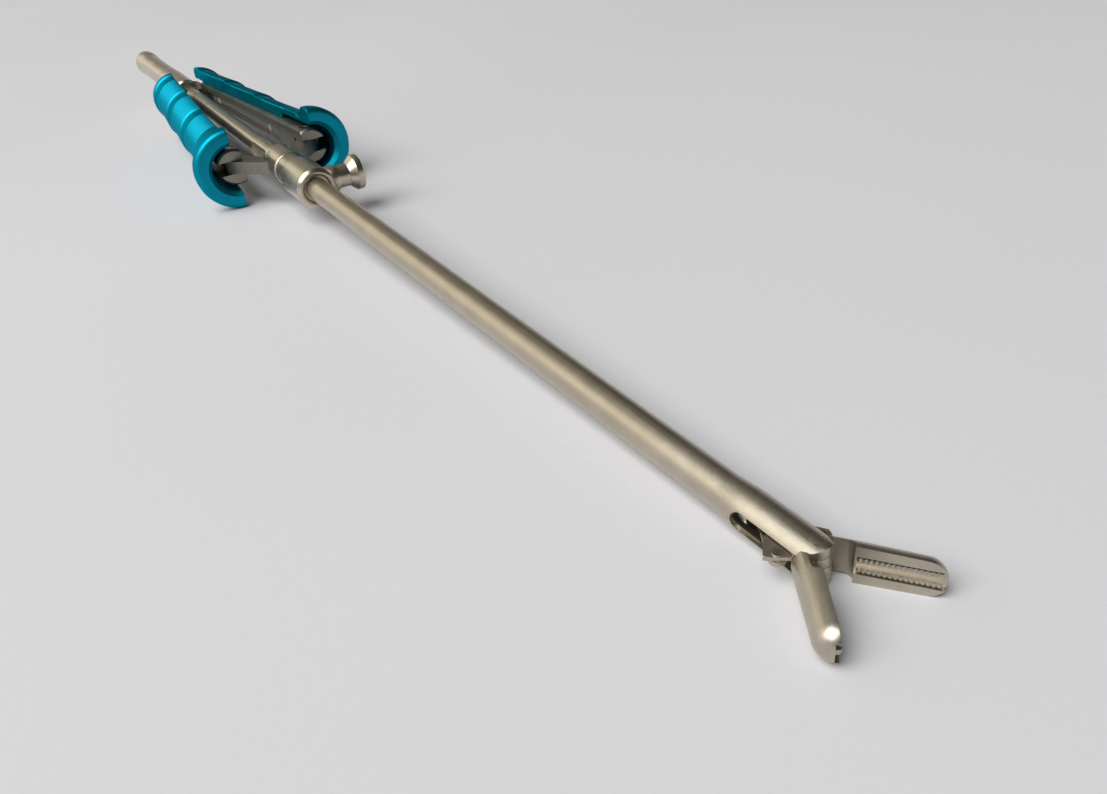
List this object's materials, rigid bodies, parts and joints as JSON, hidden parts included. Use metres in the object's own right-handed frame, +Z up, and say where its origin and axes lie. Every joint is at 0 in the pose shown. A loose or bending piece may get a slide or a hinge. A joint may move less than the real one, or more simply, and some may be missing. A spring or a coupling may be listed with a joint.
{
  "type": "atraumatic tissue forceps",
  "caption": "Long slim tissue forceps for keyhole surgery, with two blue in-line squeeze grips, a flush port and small toothed jaws.",
  "frame": {"origin": "on the shaft's axis at the collar's front face, where the slim tube begins", "axes": "+X along the shaft towards the jaws, +Y to the flush port, +Z up, along every hinge pin"},
  "size_m": [0.3188, 0.0382, 0.0188],
  "materials": {
    "tube_steel": "fine lengthwise brush, satin",
    "handle_steel": "turned and fine brushed, bright satin",
    "lever_steel": "satin",
    "jaw_steel": "fine blasted satin with brighter edges",
    "pin_steel": "ground, bright",
    "spring_steel": "drawn wire",
    "blue_grip": "turquoise blue anodised, satin, with fine turned ribs",
    "seal_rubber": "matt"
  },
  "bodies": {
    "shaft": {"shaft_tube": "tube_steel", "collar": "handle_steel", "flush_port": "handle_steel", "front_body": "handle_steel", "link_pins": "pin_steel", "rod_seal": "seal_rubber", "seal_washer": "pin_steel", "return_spring": "spring_steel", "jaw_fork": "jaw_steel", "jaw_pivot_pin": "jaw_steel"},
    "rod": {"pull_rod": "pin_steel", "rod_pin": "pin_steel", "spring_ring": "pin_steel", "spine": "handle_steel", "spine_pin": "pin_steel", "tail": "handle_steel", "tail_pin": "pin_steel", "hinge_pins": "pin_steel"},
    "grip_right": {"lever_right": "lever_steel", "lever_pin_right": "pin_steel", "grip_right": "blue_grip", "grip_screws_right": "pin_steel"},
    "grip_left": {"lever_left": "lever_steel", "lever_pin_left": "pin_steel", "grip_left": "blue_grip", "grip_screws_left": "pin_steel"},
    "handle_link_right": {"handle_link_right": "lever_steel"},
    "handle_link_left": {"handle_link_left": "lever_steel"},
    "jaw_right": {"jaw_right": "jaw_steel", "jaw_right_rivet": "pin_steel"},
    "jaw_left": {"jaw_left": "jaw_steel", "jaw_left_rivet": "pin_steel"},
    "jaw_right_link": {"jaw_right_link": "jaw_steel"},
    "jaw_left_link": {"jaw_left_link": "jaw_steel"}
  },
  "joints": [
    {"name": "grip_left_squeeze", "type": "hinge", "parent": "rod", "child": "grip_left", "pos_m": [-0.11201, -0.0029, 0], "axis": [0, 0, 1], "range_deg": [0, 3.05], "stiffness_Nm_per_rad": 1, "springref_deg": -1.15},
    {"name": "grip_right_squeeze", "type": "hinge", "parent": "rod", "child": "grip_right", "pos_m": [-0.11201, 0.0029, 0], "axis": [0, 0, -1], "range_deg": [0, 3.05]},
    {"name": "rod_slide", "type": "slide", "parent": "shaft", "child": "rod", "axis": [-1, 0, 0], "range_m": [0, 0.00242], "deforming": ["return_spring"]},
    {"name": "handle_link_left_turn", "type": "hinge", "parent": "shaft", "child": "handle_link_left", "pos_m": [-0.0234, -0.0029, 0], "axis": [0, 0, -1], "range_deg": [0, 26.6]},
    {"name": "handle_link_right_turn", "type": "hinge", "parent": "shaft", "child": "handle_link_right", "pos_m": [-0.0234, 0.0029, 0], "axis": [0, 0, 1], "range_deg": [0, 26.6]},
    {"name": "jaw_right_close", "type": "hinge", "parent": "shaft", "child": "jaw_right", "pos_m": [0.146, 0, 0], "axis": [0, 0, -1], "range_deg": [0, 35.1]},
    {"name": "jaw_left_close", "type": "hinge", "parent": "shaft", "child": "jaw_left", "pos_m": [0.146, 0, 0], "axis": [0, 0, 1], "range_deg": [0, 35.1]},
    {"name": "jaw_right_link_turn", "type": "hinge", "parent": "rod", "child": "jaw_right_link", "pos_m": [0.13838, 0, 0], "axis": [0, 0, 1], "range_deg": [0, 16.5]},
    {"name": "jaw_left_link_turn", "type": "hinge", "parent": "rod", "child": "jaw_left_link", "pos_m": [0.13838, 0, 0], "axis": [0, 0, -1], "range_deg": [0, 16.5]}
  ],
  "couplings": [
    {"joint": "grip_right_squeeze", "follows": "grip_left_squeeze", "ratio": 1},
    {"joint": "rod_slide", "follows": "grip_left_squeeze", "m_per_rad": 0.045264},
    {"joint": "handle_link_left_turn", "follows": "grip_left_squeeze", "ratio": 8.7},
    {"joint": "handle_link_right_turn", "follows": "grip_left_squeeze", "ratio": 8.7},
    {"joint": "jaw_right_close", "follows": "grip_left_squeeze", "ratio": 11.475},
    {"joint": "jaw_left_close", "follows": "grip_left_squeeze", "ratio": 11.475},
    {"joint": "jaw_right_link_turn", "follows": "grip_left_squeeze", "ratio": 5.4},
    {"joint": "jaw_left_link_turn", "follows": "grip_left_squeeze", "ratio": 5.4}
  ]
}
